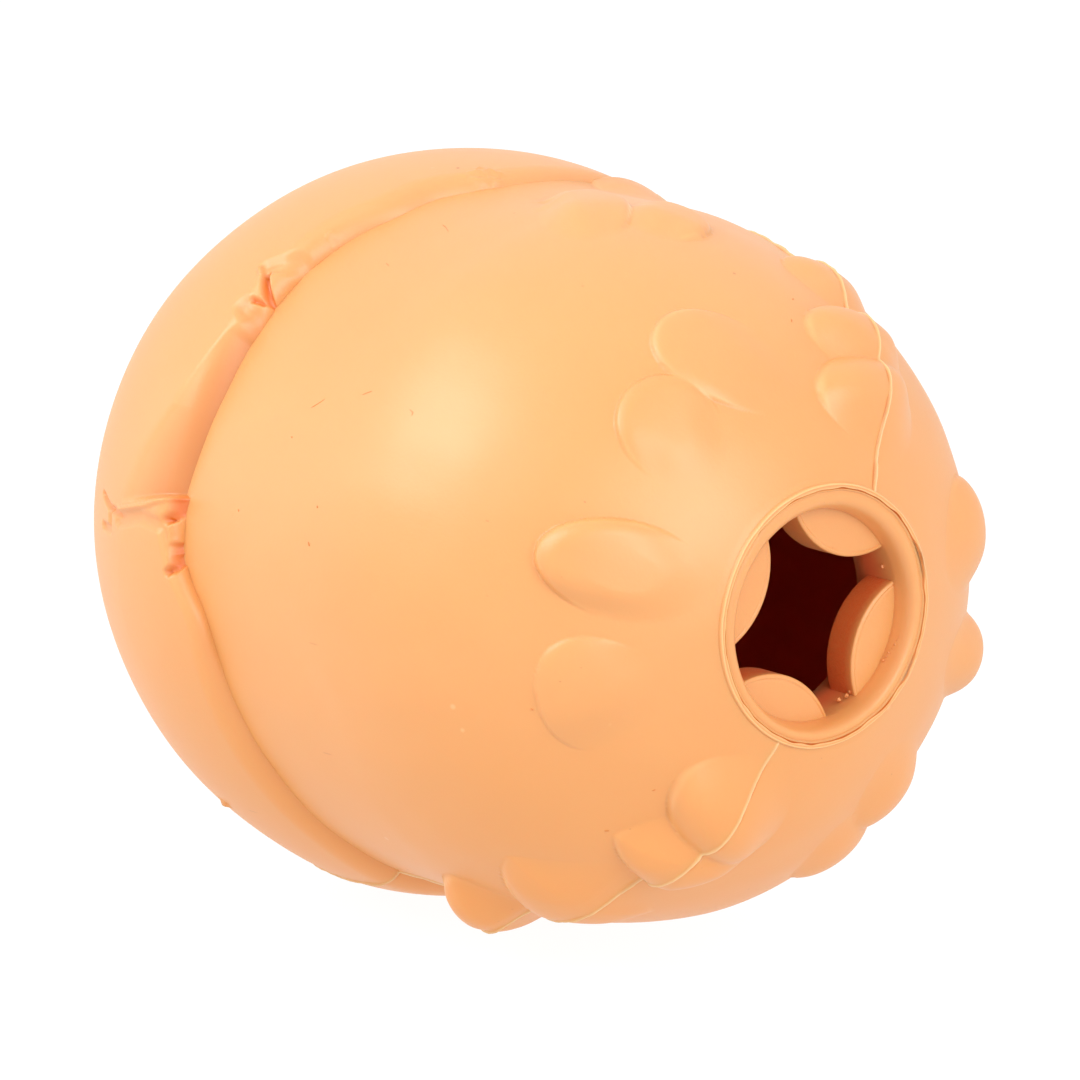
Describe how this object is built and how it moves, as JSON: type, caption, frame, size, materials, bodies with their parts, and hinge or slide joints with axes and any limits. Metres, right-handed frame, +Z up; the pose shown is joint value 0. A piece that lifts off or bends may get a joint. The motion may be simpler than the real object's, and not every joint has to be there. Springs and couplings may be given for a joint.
{
  "type": "treat dispensing ball",
  "caption": "Hollow soft rubber treat ball with a turned-in rear cap, raised lumps and a round mouth half closed by four bending flaps.",
  "frame": {"origin": "on the floor, under the middle of the ball as it lies on its side", "axes": "+X out of the mouth along the ball's own axis, +Z up"},
  "size_m": [0.0938, 0.075, 0.075],
  "materials": {
    "cap_rubber": "satin, pale orange natural rubber",
    "body_rubber": "satin, pale orange natural rubber",
    "mouth_rubber": "satin, pale orange natural rubber",
    "flap_rubber": "satin, pale orange natural rubber"
  },
  "bodies": {
    "shell": {"cap_near": "cap_rubber", "cap_far": "cap_rubber", "body_near": "body_rubber", "body_far": "body_rubber", "mouth_ring": "mouth_rubber"},
    "flap_top": {"flap_top": "flap_rubber"},
    "flap_left": {"flap_left": "flap_rubber"},
    "flap_bottom": {"flap_bottom": "flap_rubber"},
    "flap_right": {"flap_right": "flap_rubber"}
  },
  "joints": [
    {"name": "flap_top_bend", "type": "hinge", "parent": "shell", "child": "flap_top", "pos_m": [0.04139, 0.00416, 0.04533], "axis": [0, 0.8829, -0.4695], "range_deg": [-20, 35], "stiffness_Nm_per_rad": 0.01},
    {"name": "flap_left_bend", "type": "hinge", "parent": "shell", "child": "flap_left", "pos_m": [0.04139, -0.00783, 0.04166], "axis": [0, 0.4695, 0.8829], "range_deg": [-20, 35], "stiffness_Nm_per_rad": 0.01},
    {"name": "flap_bottom_bend", "type": "hinge", "parent": "shell", "child": "flap_bottom", "pos_m": [0.04139, -0.00416, 0.02967], "axis": [0, -0.8829, 0.4695], "range_deg": [-20, 35], "stiffness_Nm_per_rad": 0.01},
    {"name": "flap_right_bend", "type": "hinge", "parent": "shell", "child": "flap_right", "pos_m": [0.04139, 0.00783, 0.03334], "axis": [0, -0.4695, -0.8829], "range_deg": [-20, 35], "stiffness_Nm_per_rad": 0.01}
  ]
}
